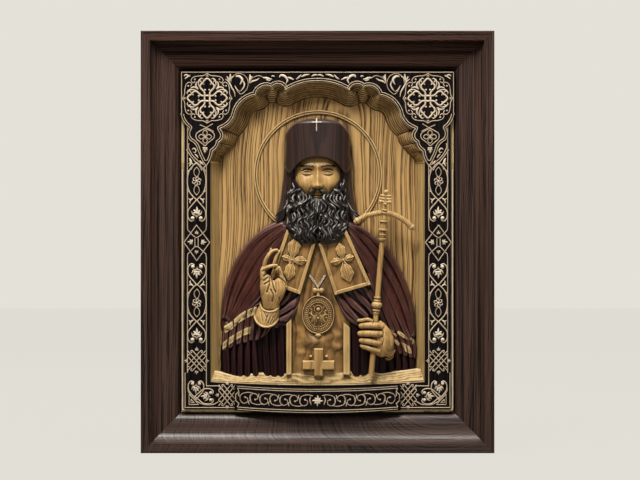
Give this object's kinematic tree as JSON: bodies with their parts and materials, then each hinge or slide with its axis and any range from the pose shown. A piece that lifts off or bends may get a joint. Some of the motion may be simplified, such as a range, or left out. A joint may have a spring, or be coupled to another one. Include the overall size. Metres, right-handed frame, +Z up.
{
  "type": "carved icon",
  "caption": "Carved wooden icon: half-length figure with a staff in a scalloped niche, strapwork border and moulded frame",
  "frame": {"origin": "middle of the frame's bottom face, which the icon stands on", "axes": "+X to the viewer's right, +Z up, the carved front faces -Y and the wall side faces +Y"},
  "size_m": [0.36, 0.051, 0.43],
  "materials": {
    "stained_ash": "dark brown stain under satin varnish, open grain",
    "natural_ash": "natural ash, oiled, satin",
    "black_stained_ash": "black stain with the raised ornament rubbed back to bare wood",
    "mahogany_stained_ash": "red-brown stain under satin varnish",
    "walnut_stained_ash": "dark walnut stain under satin varnish",
    "pale_paint": "pale inlay",
    "zinc_plated_steel": "zinc plated",
    "fibreboard": "smooth hard fibreboard",
    "felt": "dark needled felt"
  },
  "bodies": {
    "root": {"backing_board": "fibreboard", "beard": "walnut_stained_ash", "border_arch_board": "black_stained_ash", "border_base": "black_stained_ash", "border_pilaster_left": "black_stained_ash", "border_pilaster_right": "black_stained_ash", "cassock_front": "natural_ash", "chain": "natural_ash", "chest_cross": "natural_ash", "cloak_left": "mahogany_stained_ash", "cloak_right": "mahogany_stained_ash", "collar_tablet_left": "natural_ash", "collar_tablet_right": "natural_ash", "corner_v_nails": "zinc_plated_steel", "frame_bottom_rail": "stained_ash", "frame_left_stile": "stained_ash", "frame_right_stile": "stained_ash", "frame_top_rail": "stained_ash", "gripping_hand": "natural_ash", "ground_stave_centre": "natural_ash", "ground_stave_left": "natural_ash", "ground_stave_right": "natural_ash", "halo_ring": "natural_ash", "hand_cuff": "natural_ash", "hat_cross": "pale_paint", "hat_crown": "walnut_stained_ash", "hat_veil": "walnut_stained_ash", "head": "natural_ash", "keyhole_plate": "zinc_plated_steel", "keyhole_screws": "zinc_plated_steel", "leaf_cross_left": "natural_ash", "leaf_cross_right": "natural_ash", "medallion": "natural_ash", "medallion_bow": "natural_ash", "medallion_drop": "natural_ash", "name_plate": "black_stained_ash", "niche_arch_head": "natural_ash", "niche_jamb_left": "natural_ash", "niche_jamb_right": "natural_ash", "niche_sill": "natural_ash", "raised_hand": "natural_ash", "robe_folds_left": "mahogany_stained_ash", "robe_folds_right": "mahogany_stained_ash", "sleeve_left": "mahogany_stained_ash", "sleeve_right": "mahogany_stained_ash", "staff_crossbar": "natural_ash", "staff_finial": "natural_ash", "staff_shaft": "natural_ash", "turn_button_screws": "zinc_plated_steel", "wall_bumpers": "felt"},
    "turn_button_bottom": {"turn_button_bottom": "zinc_plated_steel"},
    "turn_button_left_lower": {"turn_button_left_lower": "zinc_plated_steel"},
    "turn_button_left_upper": {"turn_button_left_upper": "zinc_plated_steel"},
    "turn_button_right_lower": {"turn_button_right_lower": "zinc_plated_steel"},
    "turn_button_right_upper": {"turn_button_right_upper": "zinc_plated_steel"},
    "turn_button_top": {"turn_button_top": "zinc_plated_steel"}
  },
  "joints": [
    {"name": "turn_button_bottom_swivel", "type": "hinge", "parent": "root", "child": "turn_button_bottom", "pos_m": [0, 0.0232, 0.021], "axis": [0, 1, 0], "continuous": true},
    {"name": "turn_button_left_lower_swivel", "type": "hinge", "parent": "root", "child": "turn_button_left_lower", "pos_m": [-0.159, 0.0232, 0.1161], "axis": [0, 1, 0], "continuous": true},
    {"name": "turn_button_left_upper_swivel", "type": "hinge", "parent": "root", "child": "turn_button_left_upper", "pos_m": [-0.159, 0.0232, 0.3139], "axis": [0, 1, 0], "continuous": true},
    {"name": "turn_button_right_lower_swivel", "type": "hinge", "parent": "root", "child": "turn_button_right_lower", "pos_m": [0.159, 0.0232, 0.1161], "axis": [0, 1, 0], "continuous": true},
    {"name": "turn_button_right_upper_swivel", "type": "hinge", "parent": "root", "child": "turn_button_right_upper", "pos_m": [0.159, 0.0232, 0.3139], "axis": [0, 1, 0], "continuous": true},
    {"name": "turn_button_top_swivel", "type": "hinge", "parent": "root", "child": "turn_button_top", "pos_m": [-0.09, 0.0232, 0.409], "axis": [0, 1, 0], "continuous": true}
  ]
}
